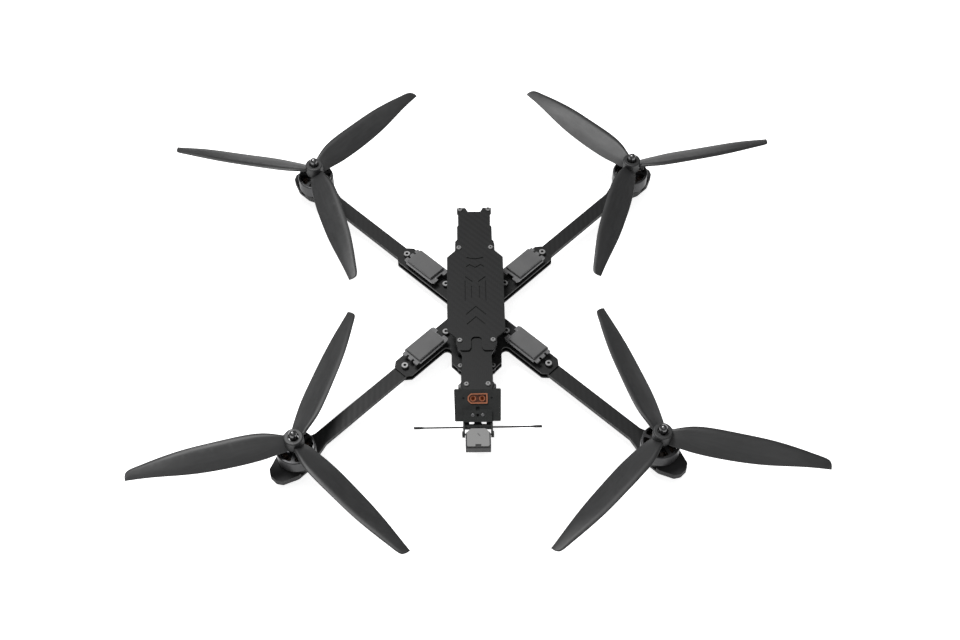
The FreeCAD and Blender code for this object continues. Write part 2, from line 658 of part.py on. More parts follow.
def bell_profile():
    """Section of the rotor bell: side ring, top face and the boss that grips the shaft."""
    outer, inner = dim("bell_radius"), dim("bell_inner_radius")
    low, top, shaft = dim("bell_bottom"), dim("bell_top"), dim("shaft_radius")
    skin, seat = 2.0, dim("hub_bottom")
    return [(inner, low, 0), (outer, low, 0.4), (outer, top, 1.4), (7.4, top, 0.5), (6.4, seat, 0.4),
            (shaft, seat, 0), (shaft, STATOR_HIGH + 1.3, 0), (5.0, STATOR_HIGH + 1.3, 0.3),
            (7.4, top - skin, 0.5), (inner, top - skin, 0.5)]


def window_outline():
    """One of the five openings between the spokes of the bell's top face."""
    inner, outer = 7.9, dim("bell_inner_radius") - 0.6
    half_pitch = math.pi / 5
    spoke = 1.7
    polar = [(inner, -half_pitch + spoke / inner), (outer, -half_pitch + spoke / outer)]
    polar += [(outer / math.cos(0.2), 0), (outer, half_pitch - spoke / outer)]
    polar += [(inner, half_pitch - spoke / inner)]
    roundings = [0.8, 1.8, 8, 1.8, 0.8]
    return rounded_outline([(r * math.cos(a), r * math.sin(a), rounding)
                            for (r, a), rounding in zip(polar, roundings)])


# blade stations: distance from the axis, then the leading and the trailing edge, each as its
# offset from the blade's centre line and its height over the tip's level, then the thickness
BLADE_STATIONS = [
    (7.0, 6.2, 3.4, -6.2, -1.6, 5.2),
    (12.0, 8.6, 4.9, -8.2, -1.8, 4.8),
    (20.0, 10.9, 6.6, -9.4, -1.7, 4.2),
    (35.0, 13.8, 7.9, -11.2, -2.6, 3.5),
    (55.0, 14.5, 8.0, -12.2, -2.9, 3.0),
    (80.0, 14.1, 7.3, -11.9, -3.3, 2.6),
    (105.0, 13.2, 6.5, -10.7, -2.3, 2.2),
    (130.0, 10.6, 4.9, -8.2, -0.3, 1.8),
    (150.0, 7.6, 3.0, -5.9, 0.0, 1.4),
    (158.0, 6.3, 2.1, -5.1, -0.3, 1.2),
    (162.0, 5.0, 1.4, -4.7, -0.5, 1.0),
    (164.2, 2.6, 0.8, -4.6, -0.5, 0.9),
    (165.1, -0.9, 0.0, -4.6, -0.5, 0.8),
]


def blade_section(radius, lead, lead_height, trail, trail_height, thickness):
    """Cambered closed section across a blade that points along +X and leads towards +Y."""
    chord = Vector(0, trail - lead, trail_height - lead_height)
    normal = Vector(0, lead_height - trail_height, lead - trail).normalize()
    if normal.z < 0:
        normal = normal * -1
    nose = Vector(radius, lead, lead_height + dim("propeller_height"))
    camber = 0.05 * chord.Length

    def at(share, height):
        return nose + chord * share + normal * (height * thickness / 2 + camber * 4 * share * (1 - share))

    upper = [at(1, 0.12), at(0.7, 0.62), at(0.35, 1.0), at(0.1, 0.75), at(0, 0)]
    lower = [at(0, 0), at(0.1, -0.55), at(0.35, -0.75), at(0.7, -0.5), at(1, -0.12)]
    skin = Part.BSplineCurve()
    skin.interpolate(upper + lower[1:])
    return Part.Wire([skin.toShape(), Part.makeLine(lower[-1], upper[0])])


def one_blade():
    sections = [blade_section(*station) for station in BLADE_STATIONS]
    highest_degree = 3
    return Part.makeLoft(sections, True, False, False, highest_degree)


def make_propeller(name, side, end, spin, first_angle):
    hub_low, hub_high, hub_outer = dim("hub_bottom"), dim("hub_top"), dim("hub_radius")
    profile = [(dim("shaft_radius"), hub_low, 0), (7.4, hub_low, 0.5), (hub_outer, hub_low + 4, 2)]
    floor, recess = hub_high - dim("hub_recess"), dim("hub_recess_radius")
    profile += [(hub_outer, hub_high, 1.5), (recess, hub_high, 0.6), (recess, floor, 0)]
    profile += [(dim("shaft_radius"), floor, 0)]
    face = Part.Face(Part.Wire([edge.toShape() for edge in rounded_outline(profile)]))
    face.rotate(Vector(), Vector(1, 0, 0), 90)
    hub = face.revolve(Vector(), Vector(0, 0, 1), 360)
    blades = turned_copies(one_blade(), 3)
    bore = Part.makeCylinder(dim("shaft_radius"), 30, Vector(0, 0, hub_low - 5))
    well = Part.makeCylinder(recess, 12, Vector(0, 0, floor))
    shape = hub.fuse(blades).cut(bore).cut(well)
    if spin < 0:
        shape = shape.mirror(Vector(), Vector(0, 1, 0))
    shape = shape.rotated(Vector(), Vector(0, 0, 1), first_angle)
    feature = add("Part::Feature", name)
    feature.Shape = shape
    return place(feature, f"{side} * dims.motor_offset", f"{end} * dims.motor_offset", 0)


for corner, side, end, spin, blade_angle in CORNERS:
    x, y = f"{side} * dims.motor_offset", f"{end} * dims.motor_offset"

    bell = new_body("rotor_bell_" + corner)
    revolve(bell, bell.Label + "_turning", rounded_outline(bell_profile()))
    window = pocket(bell, bell.Label + "_window", window_outline(), "dims.bell_top + 0.5", 3)
    doc.recompute()
    polar_pattern(bell, bell.Label + "_windows", window, 5)
    bell.Placement.Rotation = FreeCAD.Rotation(Vector(0, 0, 1), blade_angle + 11)
    parts[bell.Label] = place(bell, x, y)

    magnets = turned_copies(one_magnet(STATOR_LOW - 0.6, STATOR_HIGH + 0.6), MAGNETS)
    name = "rotor_magnets_" + corner
    parts[name] = moved_feature(name, magnets, x, y)

    name = "motor_shaft_" + corner
    shaft_low = "dims.clamp_plate_z + 0.4"
    shaft = cylinder(name + "_rod", "dims.shaft_radius", "dims.nut_tip - dims.clamp_plate_z - 3.4",
                     x, y, shaft_low)
    shaft_end = cone(name + "_end", "dims.shaft_radius", "dims.shaft_radius - 0.5", 0.5, x, y,
                     "dims.nut_tip - 3")
    parts[name] = fuse(name, [shaft, shaft_end])

    name = "propeller_" + corner
    parts[name] = make_propeller(name, side, end, spin, blade_angle)

    name = "prop_nut_" + corner
    seat = "dims.hub_top - dims.hub_recess"
    washer = cylinder(name + "_washer", 4.9, 1, x, y, seat)
    hexagon = prism(name + "_hexagon", 4.62, "dims.hub_recess - 1", x, y, f"{seat} + 1")
    collar = cylinder(name + "_collar", "dims.nut_dome_radius",
                      "dims.nut_tip - dims.hub_top - dims.nut_dome_radius", x, y, "dims.hub_top")
    ball = add("Part::Sphere", name + "_dome")
    place(bind(ball, {"Radius": "dims.nut_dome_radius"}), x, y, "dims.nut_tip - dims.nut_dome_radius")
    bore_height = "dims.nut_tip - 2.3 - (dims.hub_top - dims.hub_recess)"
    bore = cylinder(name + "_bore", "dims.shaft_radius", bore_height, x, y, seat)
    parts[name] = cut(name, fuse(name + "_blank", [washer, hexagon, collar, ball]), bore)

# ---------------------------------------------------------------- landing feet


COLLAR_HEIGHT = 4.2
FLANGE_CORNERS = [(-14.0, 12.0, 2), (-3.0, 16.2, 4)]
RIM_CORNERS = [(13.5, 16.2, 6), (28.6, 10.0, 4), (32.3, 4.2, 3)]
# sections of the leg: height, outer end, half width and rounding of the outer end
LEG_SECTIONS = [(0, 16.4, 4.6, 2.2), (2.6, 17.8, 5.2, 2.6), (6.0, 19.6, 6.2, 4), (11.0, 23.4, 7.6, 5)]
LEG_INNER = 10.6


def level_wire(corners, level):
    wire = Part.Wire([edge.toShape() for edge in rounded_outline(corners)])
    wire.translate(Vector(0, 0, level))
    return wire


def symmetric_slab(half, low, height):
    """Slab whose outline mirrors the corners given, listed outwards along +X, in its middle line."""
    corners = [(x, -y, radius) for x, y, radius in half] + list(reversed(half))
    return Part.Face(level_wire(corners, low)).extrude(Vector(0, 0, height))


def leg_section(level, outer, half_width, rounding):
    corners = [(LEG_INNER, -half_width, 1.5), (outer, -half_width, rounding)]
    corners += [(outer, half_width, rounding), (LEG_INNER, half_width, 1.5)]
    return level_wire(corners, level)


def one_foot():
    """Foot under a motor seat at the origin, its leg and its collar pointing along +X."""
    flange_low = dim("arm_z") - FLANGE_THICKNESS
    flange = symmetric_slab(FLANGE_CORNERS + RIM_CORNERS, flange_low, FLANGE_THICKNESS)
    collar = symmetric_slab([(10.0, 16.2, 0.3)] + RIM_CORNERS, dim("arm_z"), COLLAR_HEIGHT)
    collar = collar.cut(Part.makeCylinder(dim("arm_disc_radius") + 0.1, 30))
    leg = Part.makeLoft([leg_section(*section) for section in LEG_SECTIONS]
                        + [leg_section(flange_low, 28.6, 9.6, 7)], True, False)
    solid = flange.fuse([leg, collar])
    step = dim("motor_bolt_radius") / math.sqrt(2)
    for a in SIDES:
        for b in SIDES:
            hole = Part.makeCylinder(dim("m3_hole_radius"), 5, Vector(a * step, b * step, flange_low - 1))
            solid = solid.cut(hole)
    return solid.cut(Part.makeCylinder(dim("shaft_radius") + 1.5, 5, Vector(0, 0, flange_low - 1)))


feet = []
for corner, side, end, spin, blade_angle in CORNERS:
    foot = add("Part::Feature", "landing_foot_" + corner)
    foot.Shape = one_foot().rotated(Vector(), Vector(0, 0, 1), math.degrees(math.atan2(end, side)))
    feet.append(place(foot, f"{side} * dims.motor_offset", f"{end} * dims.motor_offset", 0))
parts["landing_feet"] = group("landing_feet", feet)

# ---------------------------------------------------------------- rear mount and battery connector

FACE_CENTRE = Vector(0, -134.5, 43.0)
FACE_HALF_WIDTH, FACE_HALF_HEIGHT, FACE_DEPTH = 23.1, 16.2, 11.0
CONNECTOR_MIDDLE = 6.8
PIN_SPACING = 9.2
CHEEK_INSIDE, CHEEK_OUTSIDE = 13.1, 15.0
PIVOT_BOSS_END, PIVOT_SCREW_SEAT = 16.0, 14.6


def on_rear_face(obj):
    """Turns an object drawn flat, with its face upwards, onto the rear mount's sloping face."""
    obj.Placement.Base = FACE_CENTRE
    obj.setExpression("Placement.Rotation.Angle", "dims.rear_face_tilt")
    obj.Placement.Rotation.Axis = Vector(1, 0, 0)
    return obj


def connector_outline(half_length, half_height):
    """Plug outline: cut corners on the left, square corners on the right."""
    cut_size = half_height * 0.62
    corners = [(half_length, -half_height, 0.8), (half_length, half_height, 0.8)]
    corners += [(-half_length + cut_size, half_height, 2.5), (-half_length, half_height - cut_size, 1.5)]
    corners += [(-half_length, -half_height + cut_size, 1.5), (-half_length + cut_size, -half_height, 2.5)]
    return rounded_outline([(x, y + CONNECTOR_MIDDLE, radius) for x, y, radius in corners])


def make_rear_mount():
    face = new_body("rear_mount_face")
    width, height = FACE_HALF_WIDTH, FACE_HALF_HEIGHT
    front = mirrored_outline([(width + 0.6, height, 1.2), (width, -height, 1.2)])
    pad(face, "rear_mount_block", front, -FACE_DEPTH, FACE_DEPTH)
    shelf = rectangle(-14.4, -16.8, 14.4, -4.2, 1)
    pad(face, "rear_mount_shelf", shelf, -FACE_DEPTH, FACE_DEPTH + 2.4)
    pocket(face, "rear_mount_notch", rectangle(-1.9, -5.2, 1.9, -1.4, 0.4), 3, 5)
    drill(face, "rear_mount_dimples", [(-14.2, 7.2), (14.2, 7.2)], 1.1, 0, 1.2)
    shelf_screws = [(-5.0, -9.8), (5.0, -9.8)]
    drill(face, "rear_mount_recesses", shelf_screws, 2.1, 2.4, 1.6)
    drill(face, "rear_mount_threads", shelf_screws, "dims.m2_radius", 0.8, 7)
    drill(face, "rear_mount_cable_hole", [(0, -9.8)], "dims.m3_radius", 2.4, 5)
    on_rear_face(face)

    block = new_body("rear_mount_ears")
    ears = [(14.6, -108.5, 3), (17.2, -111.0, 3), (17.2, -119.5, 3), (14.6, -124.0, 1)]
    pad(block, "rear_mount_column", mirrored_outline(ears), "dims.deck_z", "dims.tail_plate_z - dims.deck_z")
    pocket(block, "rear_mount_window", rectangle(-7.2, -130, 7.2, -105), "dims.deck_z + 14", 14)

    cheeks = []
    lobe = 3.3
    pivot_y, pivot_z = dim("gps_pivot_y"), dim("gps_pivot_z")
    outline = [(-139.0, 37.5, 0), (-148.5, 33.5, 4), (pivot_y - lobe, pivot_z + lobe, lobe - 0.1),
               (pivot_y - lobe, pivot_z - lobe, lobe - 0.1), (-141.5, 25.0, 0)]
    wire = Part.Wire([edge.toShape() for edge in rounded_outline(outline)])
    flat = Part.Face(wire)
    upright = FreeCAD.Placement(Vector(), FreeCAD.Rotation(Vector(1, 1, 1), 120))
    flat.Placement = upright
    for side in SIDES:
        cheek = add("Part::Feature", f"rear_mount_cheek_{side + 1}")
        cheek.Shape = flat.extrude(Vector(CHEEK_OUTSIDE - CHEEK_INSIDE, 0, 0))
        cheek.Placement.Base = Vector(CHEEK_INSIDE if side > 0 else -CHEEK_OUTSIDE, 0, 0)
        cheeks.append(cheek)
        boss_start = CHEEK_INSIDE if side > 0 else -PIVOT_BOSS_END
        boss_length = PIVOT_BOSS_END - CHEEK_INSIDE
        cheeks.append(lying_cylinder(f"rear_mount_pivot_boss_{side + 1}", lobe, boss_length, boss_start,
                                     "dims.gps_pivot_y", "dims.gps_pivot_z"))
    reach = CHEEK_INSIDE + 0.5
    bar = box("rear_mount_bar", 2 * reach, 3.0, 5.8, -reach, "dims.aerial_y - 1", "dims.gps_pivot_z - 2.8")
    web = box("rear_mount_web", 2 * reach, 10, 2.4, -reach, "dims.aerial_y + 1.5", "dims.gps_pivot_z - 2.8")
    feed_room = box("rear_mount_feed_room", 9.1, 4.1, 4.5, -4.55, "dims.aerial_y - 0.95",
                    "dims.gps_pivot_z - 2.25")
    stub_room = cylinder("rear_mount_stub_room", 1.15, 5.05, 0, "dims.aerial_y + 1.4",
                         "dims.gps_pivot_z - 6.55")

    solid = fuse("rear_mount_blank", [face, block, bar, web] + cheeks)
    plate_room = box("rear_mount_plate_room", 40, 30, 8, -20, -121, "dims.tail_plate_z")
    pins = lying_cylinder("rear_mount_pin_bore", "dims.m2_radius + 0.05", 40, -20, "dims.gps_pivot_y",
                          "dims.gps_pivot_z")
    rod = lying_cylinder("rear_mount_rod_bore", 0.95, 40, -20, "dims.aerial_y", "dims.gps_pivot_z")
    socket = new_body("rear_mount_socket")
    pad(socket, "rear_mount_socket_room", connector_outline(10.1, 5.25), -FACE_DEPTH - 4, FACE_DEPTH + 8)
    hollows = [plate_room, pins, rod, feed_room, stub_room, on_rear_face(socket)]
    for side in SIDES:
        start = PIVOT_SCREW_SEAT if side > 0 else -PIVOT_SCREW_SEAT - 2
        hollows.append(lying_cylinder(f"rear_mount_pivot_recess_{side + 1}", 2.0, 2, start,
                                      "dims.gps_pivot_y", "dims.gps_pivot_z"))
        hollows.append(box(f"rear_mount_cable_slot_{side + 1}", 5.0, 6.4, 4, side * 6.2 - 2.5,
                           "dims.aerial_y + 2", "dims.gps_pivot_z - 4"))
    for number, (x, y) in enumerate(both_sides([TAIL_PLATE_POST])):
        hollows.append(cylinder(f"rear_mount_post_bore_{number}", "dims.standoff_radius + 0.05",
                                "dims.standoff_length", x, y, "dims.deck_z"))
    parts["rear_mount"] = cut("rear_mount", solid, fuse("rear_mount_hollows", hollows))

    connector = new_body("battery_connector")
    pad(connector, "connector_shell", connector_outline(10.0, 5.15), -9.5, 10.7)
    pocket(connector, "connector_cavity", connector_outline(8.8, 4.0), 1.2, 8.2)
    sleeves = [Part.Circle(Vector(a * PIN_SPACING / 2, CONNECTOR_MIDDLE, 0), Vector(0, 0, 1), 3.0)
               for a in SIDES]
    pad(connector, "connector_sleeves", sleeves, -7.2, 6.9)
    bores = [(a * PIN_SPACING / 2, CONNECTOR_MIDDLE) for a in SIDES]
    drill(connector, "connector_bores", bores, 2.25, 1.2, 10.7)
    parts["battery_connector"] = on_rear_face(connector)

    pins = []
    for a in SIDES:
        pin = new_body(f"connector_pin_{a + 1}")
        centre = Vector(a * PIN_SPACING / 2, CONNECTOR_MIDDLE, 0)
        name = pin.Label
        pad(pin, name + "_barrel", [Part.Circle(centre, Vector(0, 0, 1), 2.25)], -11.5, 10.8)
        drill(pin, name + "_mouth", [(centre.x, centre.y)], 1.5, -0.7, 7)
        pins.append(on_rear_face(pin))
    parts["connector_pins"] = group("connector_pins", pins)


make_rear_mount()


def m2_screw(name, length):
    """M2 pan head screw drawn upright, its head resting on the level 0."""
    head = cylinder(name + "_head", 1.9, 1.1, 0, 0, 0)
    crown = cone(name + "_crown", 1.9, 1.3, 0.4, 0, 0, 1.1)
    thread = cylinder(name + "_thread", "dims.m2_radius - 0.02", length, 0, 0, f"0 - {length}")
    socket = prism(name + "_socket", 0.75, 2, 0, 0, 0.6)
    return cut(name, fuse(name + "_blank", [head, crown, thread]), socket)


rear_screws = []
for a in SIDES:
    screw = m2_screw(f"shelf_screw_{a + 1}", 6)
    lift = FreeCAD.Rotation(Vector(1, 0, 0), dim("rear_face_tilt"))
    screw.Placement = FreeCAD.Placement(FACE_CENTRE + lift.multVec(Vector(a * 5.0, -9.8, 0.8)), lift)
    rear_screws.append(screw)
    pivot = m2_screw(f"gps_pivot_screw_{a + 1}", 4.6)
    pivot.Placement.Rotation = FreeCAD.Rotation(Vector(0, 1, 0), a * 90)
    rear_screws.append(place(pivot, a * PIVOT_SCREW_SEAT, "dims.gps_pivot_y", "dims.gps_pivot_z"))
parts["rear_screws"] = group("rear_screws", rear_screws)

# ---------------------------------------------------------------- satellite receiver and aerial

GPS_FRONT, GPS_REAR = 4.8, -18.4
TRAY_LOW, TRAY_HIGH, MODULE_HIGH, PATCH_HIGH = -4.4, 2.8, 3.4, 4.2


def gps_outline(half_width, front, rear, corner, rear_radius=0.6):
    """Square with its two front corners cut off."""
    right = [(half_width - corner, front, 0.5), (half_width, front - corner, 0.5)]
    right.append((half_width, rear, rear_radius))
    return mirrored_outline(right)


def at_gps_pivot(obj):
    return place(obj, 0, "dims.gps_pivot_y", "dims.gps_pivot_z")


tray = new_body("gps_bracket")
pad(tray, "gps_tray", gps_outline(12.7, GPS_FRONT, GPS_REAR, 5.6), TRAY_LOW, TRAY_HIGH - TRAY_LOW)
hollow = gps_outline(11.5, GPS_FRONT - 1.2, GPS_REAR + 1.2, 4.9)
pocket(tray, "gps_hollow", hollow, TRAY_HIGH, TRAY_HIGH - TRAY_LOW - 1.2)
tray_lug_bore = lying_cylinder("gps_lug_bore", "dims.m2_radius + 0.05", 30, -15, 0, 0)
lugs = []
for a in SIDES:
    start = 9.2 if a > 0 else -11.8
    lugs.append(lying_cylinder(f"gps_lug_{a + 1}", 2.3, 2.6, start, 0, 0))
parts["gps_bracket"] = at_gps_pivot(cut("gps_bracket_piece", fuse("gps_bracket_blank", [tray] + lugs),
                                        tray_lug_bore))

module_room = box("gps_module_room", 30, 6.4, 6.0, -15, -3.2, -3.2)
module = new_body("gps_module_block")
pad(module, "gps_module_case", gps_outline(11.4, GPS_FRONT - 1.3, GPS_REAR + 1.3, 4.85), TRAY_LOW + 1.2,
    MODULE_HIGH - TRAY_LOW - 1.2)
core = box("gps_module_core", 16.8, 8, 6.0, -8.4, -4, -3.2)
notches = cut("gps_module_notches", module_room, core)
parts["gps_module"] = at_gps_pivot(cut("gps_module_piece", module, notches))

patch = new_body("gps_patch_piece")
pad(patch, "gps_patch_sheet", gps_outline(11.3, GPS_FRONT - 0.4, GPS_REAR + 2.0, 4.2, 2.0), MODULE_HIGH,
    PATCH_HIGH - MODULE_HIGH)
pocket(patch, "gps_patch_notch", rectangle(-2.9, GPS_REAR + 1, 2.9, GPS_REAR + 4.4, 0.3), PATCH_HIGH, 1)
parts["gps_patch"] = at_gps_pivot(patch)

aerial_pieces = []
CAP_LENGTH = 6
aerial_pieces.append(lying_cylinder("aerial_rod", 0.9, f"2 * dims.aerial_half_length - {2 * CAP_LENGTH - 1}",
                                    f"{CAP_LENGTH} - 0.5 - dims.aerial_half_length", "dims.aerial_y",
                                    "dims.gps_pivot_z"))
for a in SIDES:
    start = f"dims.aerial_half_length - {CAP_LENGTH}" if a > 0 else "0 - dims.aerial_half_length"
    aerial_pieces.append(lying_cylinder(f"aerial_cap_{a + 1}", 1.4, CAP_LENGTH, start, "dims.aerial_y",
                                        "dims.gps_pivot_z"))
    taper = cone(f"aerial_taper_{a + 1}", 1.4, 0.9, 5, f"{a} * (dims.aerial_half_length - {CAP_LENGTH})",
                 "dims.aerial_y", "dims.gps_pivot_z")
    taper.Placement.Rotation = FreeCAD.Rotation(Vector(0, 1, 0), -a * 90)
    aerial_pieces.append(taper)
aerial_pieces.append(box("aerial_feed", 9, 4.0, 4.4, -4.5, "dims.aerial_y - 0.9", "dims.gps_pivot_z - 2.2"))
aerial_pieces.append(cylinder("aerial_stub", 1.1, 5, 0, "dims.aerial_y + 1.4", "dims.gps_pivot_z - 6.5"))
parts["dipole_antenna"] = fuse("dipole_antenna", aerial_pieces)

# ---------------------------------------------------------------- camera

CHEEK_INNER, CHEEK_THICKNESS = 10.3, 2.0
camera_plates = []
for a in SIDES:
    start = CHEEK_INNER if a > 0 else -CHEEK_INNER - CHEEK_THICKNESS
    sheet_box = box(f"camera_plate_{a + 1}_sheet", CHEEK_THICKNESS, 17, "dims.standoff_length", start, 98,
                    "dims.deck_z")
    hole = lying_cylinder(f"camera_plate_{a + 1}_hole", "dims.m2_radius + 0.06", 4, start - 1,
                          "dims.camera_pivot_y", "dims.camera_pivot_z")
    camera_plates.append(cut(f"camera_plate_{a + 1}", sheet_box, hole))
parts["camera_side_plates"] = group("camera_side_plates", camera_plates)

CAMERA_HALF_WIDTH, CAMERA_HALF_DEPTH, CAMERA_HALF_HEIGHT = 9.5, 6.0, 8.5
case = new_body("camera_case")
case_outline = rectangle(-CAMERA_HALF_WIDTH, -CAMERA_HALF_DEPTH, CAMERA_HALF_WIDTH, CAMERA_HALF_DEPTH, 1)
pad(case, "camera_case_block", case_outline, -CAMERA_HALF_HEIGHT, 2 * CAMERA_HALF_HEIGHT)
threads = lying_cylinder("camera_threads", "dims.m2_radius", 22, -11, 0, 0)
throat = cylinder("camera_throat", 5.0, 8, 0, 1.5, 0)
throat.Placement.Rotation = FreeCAD.Rotation(Vector(1, 0, 0), -90)
threads_core = box("camera_threads_core", 13, 6, 6, -6.5, -3, -3)
camera_cut = fuse("camera_hollows", [cut("camera_side_threads", threads, threads_core), throat])
parts["camera_body"] = place(cut("camera_body_piece", case, camera_cut), 0, "dims.camera_pivot_y",
                             "dims.camera_pivot_z")

barrel = new_body("camera_lens_barrel")
lens_profile = [(0, 1.6, 0), (4.95, 1.6, 0), (4.95, 6.4, 0), (5.6, 6.4, 0), (5.6, 11.0, 0.6)]
lens_profile += [(4.4, 11.0, 0.3), (4.0, 10.0, 0), (0, 10.9, 0)]
revolve(barrel, "camera_lens_turning", rounded_outline(lens_profile))
barrel.Placement.Rotation = FreeCAD.Rotation(Vector(1, 0, 0), -90)
parts["camera_lens"] = place(barrel, 0, "dims.camera_pivot_y", "dims.camera_pivot_z")

camera_screws = []
for a in SIDES:
    screw = m2_screw(f"camera_screw_{a + 1}", 5.4)
    screw.Placement.Rotation = FreeCAD.Rotation(Vector(0, 1, 0), a * 90)
    reach = CHEEK_INNER + CHEEK_THICKNESS + 0.1
    camera_screws.append(place(screw, a * reach, "dims.camera_pivot_y", "dims.camera_pivot_z"))
parts["camera_screws"] = group("camera_screws", camera_screws)

# ---------------------------------------------------------------- electronics inside the frame

STACK_HALF = 18.0
POWER_BOARD_Z, CONTROLLER_Z, BOARD_THICKNESS = 31.5, 39.0, 1.6


def circuit_board(name, level, chips):
    """Square board with four rubber-mounted holes; chips are (x, y, half x, half y, height)."""
    body = new_body(name)
    outline = rectangle(-STACK_HALF, -STACK_HALF, STACK_HALF, STACK_HALF, 2)
    pad(body, name + "_sheet", outline, level, BOARD_THICKNESS)
    for index, (x, y, half_x, half_y, height) in enumerate(chips):
        chip = rectangle(x - half_x, y - half_y, x + half_x, y + half_y)
        pad(body, f"{name}_chip_{index}", chip, level + BOARD_THICKNESS, height)
    drill(body, name + "_holes", both_sides(STACK_POSTS), 1.95, level + BOARD_THICKNESS, BOARD_THICKNESS)
    parts[name] = body


circuit_board("power_board", POWER_BOARD_Z, [(0, 10, 6, 4, 3.2), (-8, -6, 4, 4, 1.5), (8, -6, 4, 4, 1.5)])
circuit_board("flight_controller", CONTROLLER_Z, [(0, 0, 4.5, 4.5, 1.2), (-10, 4, 2.5, 2, 1.0),
                                                  (9, -8, 3, 2, 1.0), (0, -15.6, 4.5, 1.9, 2.8)])

posts = []
for number, (x, y) in enumerate(both_sides(STACK_POSTS)):
    name = f"stack_post_{number}"
    stud = cylinder(name + "_stud", "dims.m3_hole_radius - 0.02", "dims.plate_thickness", x, y,
                    "dims.clamp_plate_z")
    column = cylinder(name + "_column", 1.9, 17.2, x, y, "dims.deck_z")
    between = CONTROLLER_Z - POWER_BOARD_Z - BOARD_THICKNESS
    middle = cylinder(name + "_grommet", 2.9, between, x, y, POWER_BOARD_Z + BOARD_THICKNESS)
    lower = cylinder(name + "_foot", 2.9, f"{POWER_BOARD_Z} - dims.deck_z", x, y, "dims.deck_z")
    cap = cylinder(name + "_cap", 2.9, 2.3, x, y, CONTROLLER_Z + BOARD_THICKNESS)
    posts.append(fuse(name, [stud, column, middle, lower, cap]))
parts["stack_posts"] = group("stack_posts", posts)


def finned_case(name, half_x, y_1, y_2, low, high, fins):
    body = new_body(name)
    pad(body, name + "_case", rectangle(-half_x, y_1, half_x, y_2, 1.5), low, f"{high} - ({low})")
    pitch = 2 * half_x / (fins + 1)
    grooves = []
    for index in range(1, fins + 1):
        middle = -half_x + index * pitch
        grooves += rectangle(middle - 0.6, y_1 + 2, middle + 0.6, y_2 - 2, 0.3)
    pocket(body, name + "_fins", grooves, high, 1.4)
    parts[name] = body


finned_case("video_transmitter", 15.0, -50.0, -24.0, "dims.deck_z", 35.0, 8)

receiver = new_body("receiver")
pad(receiver, "receiver_board", rectangle(-6, 44, 6, 64, 1), "dims.deck_z", 1.4)
pad(receiver, "receiver_chip", rectangle(-4.5, 50, 4.5, 60, 0.4), "dims.deck_z + 1.4", 2)
parts["receiver"] = receiver

can = lying_cylinder("capacitor_can", 6.2, 26, -13, -86, "dims.deck_z + 6.2")
bung = lying_cylinder("capacitor_bung", 5.2, 1.2, 13, -86, "dims.deck_z + 6.2")
parts["capacitor"] = fuse("capacitor", [can, bung])

# ---------------------------------------------------------------- check and write

doc.recompute()
for name, obj in parts.items():
    if obj.Label != name:
        obj.Label = name
failed = [obj.Label for obj in doc.Objects if "Invalid" in obj.State or "Error" in obj.State]
if failed:
    raise RuntimeError(f"features failed: {failed}")
for name, obj in parts.items():
    if obj.Shape.isNull() or not obj.Shape.isValid():
        raise RuntimeError(f"{name} has no valid shape")
os.makedirs("parts", exist_ok=True)
for name, obj in parts.items():
    obj.Shape.exportStep(os.path.join("parts", name + ".step"))
    print(f"{name}: {len(obj.Shape.Solids)} solids, {obj.Shape.Volume:.0f} mm3")
print(f"{len(parts)} nodes")
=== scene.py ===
"""Looks of the long-range FPV quadcopter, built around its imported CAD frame."""
import json
import math

import bpy
from mathutils import Matrix, Vector


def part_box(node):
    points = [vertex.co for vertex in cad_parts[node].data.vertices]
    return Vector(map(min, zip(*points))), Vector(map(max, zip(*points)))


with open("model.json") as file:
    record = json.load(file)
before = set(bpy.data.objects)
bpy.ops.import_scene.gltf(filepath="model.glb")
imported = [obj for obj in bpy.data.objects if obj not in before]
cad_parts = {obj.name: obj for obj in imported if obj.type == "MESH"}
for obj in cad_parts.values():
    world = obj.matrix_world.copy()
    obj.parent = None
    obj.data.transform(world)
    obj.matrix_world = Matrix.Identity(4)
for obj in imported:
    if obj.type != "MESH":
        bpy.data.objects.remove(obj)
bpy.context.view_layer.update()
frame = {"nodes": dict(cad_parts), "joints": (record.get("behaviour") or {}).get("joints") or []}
NODES = frame["nodes"]
CORNERS = ("front_left", "front_right", "rear_left", "rear_right")
MM = 0.001
MOTOR_OFFSET = max(abs(joint["pos_m"][0]) for joint in frame["joints"])
PLATE_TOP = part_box("top_plate")[1].z

# ---------------------------------------------------------------- camera and studio

AZIMUTH, ELEVATION, ROLL = math.radians(-0.88), math.radians(53.587), math.radians(-0.152)
TARGET = Vector((0.0041, -0.0347, 0.052))
DISTANCE = 1.3986
LENS_MM, SENSOR_MM = 50.2, 36.0
WORLD_STRENGTH = 0.23
LIGHTS_AIM = Vector((0, 0, 0.03))
FLOOR_REACH = 40.0


def make_camera():
    camera = bpy.data.objects.new("camera", bpy.data.cameras.new("camera"))
    bpy.context.scene.collection.objects.link(camera)
    camera.data.lens = LENS_MM
    camera.data.sensor_width = SENSOR_MM
    back = Vector((math.sin(AZIMUTH) * math.cos(ELEVATION), -math.cos(AZIMUTH) * math.cos(ELEVATION),
                   math.sin(ELEVATION)))
    level_right = Vector((math.cos(AZIMUTH), math.sin(AZIMUTH), 0))
    level_up = back.cross(level_right)
    right = level_right * math.cos(ROLL) + level_up * math.sin(ROLL)
    up = level_up * math.cos(ROLL) - level_right * math.sin(ROLL)
    turn = Matrix((right, up, back)).transposed().to_4x4()
    camera.matrix_world = Matrix.Translation(TARGET + back * DISTANCE) @ turn
    bpy.context.scene.camera = camera


